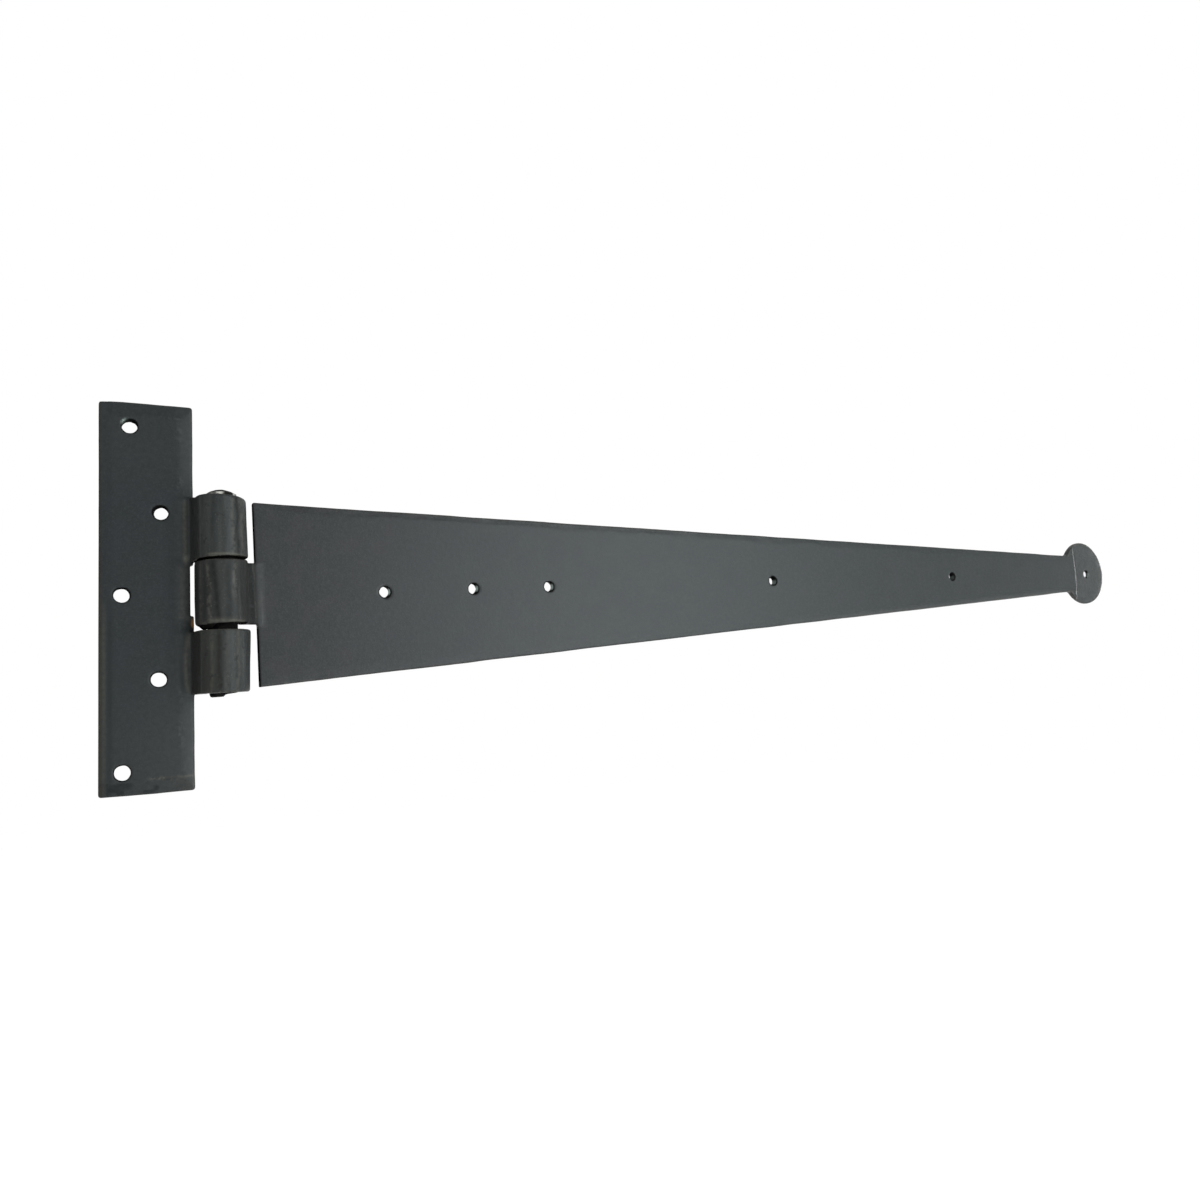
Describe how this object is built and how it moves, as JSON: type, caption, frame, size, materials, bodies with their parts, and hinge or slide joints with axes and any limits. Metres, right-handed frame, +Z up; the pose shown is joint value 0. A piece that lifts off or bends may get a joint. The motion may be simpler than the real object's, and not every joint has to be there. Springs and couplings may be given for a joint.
{
  "type": "tee hinge",
  "caption": "Forged iron tee hinge with a beveled fixing plate, rolled knuckles on a riveted pin and a long tapering strap with a round penny end.",
  "frame": {"origin": "middle of the fixing plate's back face, which lies against the post", "axes": "+X along the strap away from the plate, +Y out of the back face into the post, +Z up along the pin; the front shows towards -Y"},
  "size_m": [0.6094, 0.0196, 0.1524],
  "materials": {
    "black_iron": "satin black wax over forged iron",
    "pin_iron": "satin black wax over forged iron, riveted ends"
  },
  "bodies": {
    "plate": {"fixing_plate": "black_iron", "hinge_pin": "pin_iron"},
    "strap": {"strap": "black_iron"}
  },
  "joints": [
    {"name": "strap_swing", "type": "hinge", "parent": "plate", "child": "strap", "pos_m": [0.0264, -0.00993, 0], "axis": [0, 0, -1], "range_deg": [0, 180]}
  ]
}
